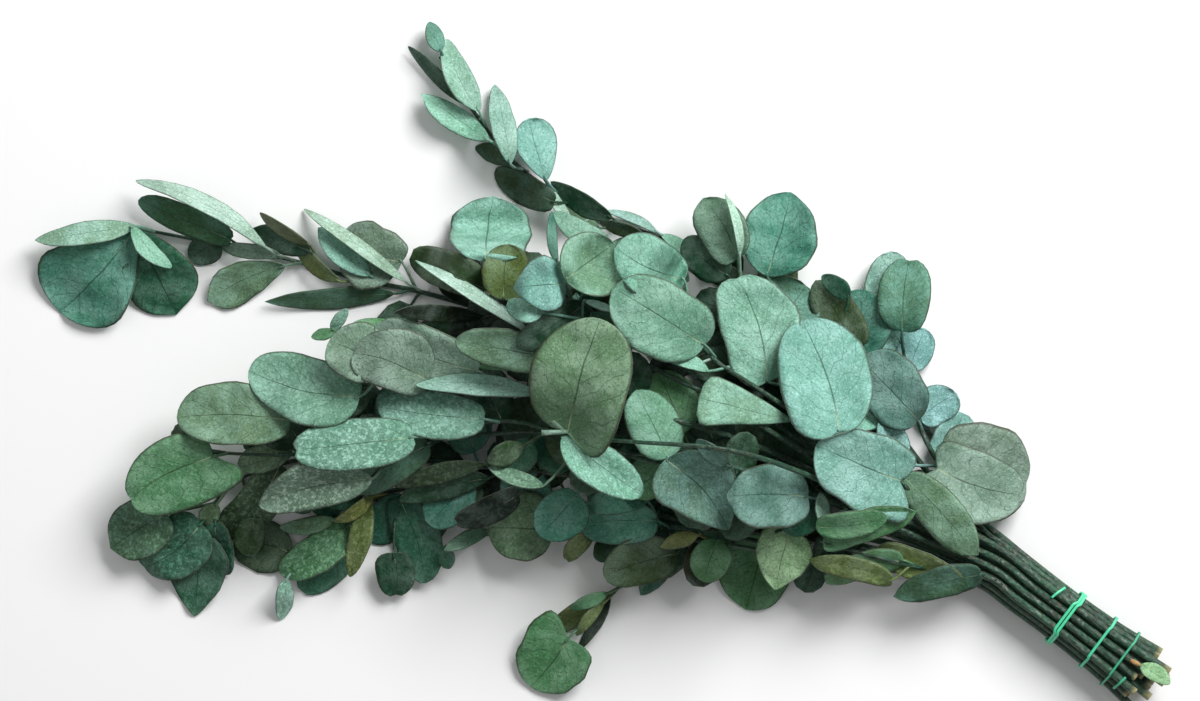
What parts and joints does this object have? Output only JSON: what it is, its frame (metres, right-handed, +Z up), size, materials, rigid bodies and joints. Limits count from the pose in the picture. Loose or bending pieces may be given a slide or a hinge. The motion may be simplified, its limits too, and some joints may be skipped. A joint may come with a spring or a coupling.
{
  "type": "eucalyptus bunch",
  "caption": "Tied bunch of leafy eucalyptus stems lying down, with round blue-green leaves fanning out and rubber ties near the cut ends.",
  "frame": {"origin": "middle of the bunch in plan, on the surface that it lies on", "axes": "+Z up, +X along the bunch's length toward the cut ends, +Y toward the upper sprig"},
  "size_m": [0.5716, 0.3502, 0.0857],
  "materials": {
    "foliage": "satin",
    "tie_rubber": "satin"
  },
  "bodies": {
    "root": {"stem_bottom_sprig": "foliage", "stem_broad": "foliage", "stem_centre": "foliage", "stem_centre_left": "foliage", "stem_centre_low": "foliage", "stem_centre_right": "foliage", "stem_crown": "foliage", "stem_far_left": "foliage", "stem_far_left_low": "foliage", "stem_left_sprig": "foliage", "stem_low_pale": "foliage", "stem_low_short": "foliage", "stem_low_top": "foliage", "stem_lower_left": "foliage", "stem_lower_middle": "foliage", "stem_middle_left": "foliage", "stem_mottled": "foliage", "stem_right_back": "foliage", "stem_right_front": "foliage", "stem_right_pair": "foliage", "stem_slate": "foliage", "stem_top_sprig": "foliage", "stem_upper": "foliage", "stem_upper_back": "foliage", "tie_end": "tie_rubber", "tie_main": "tie_rubber", "tie_middle": "tie_rubber"}
  },
  "joints": []
}
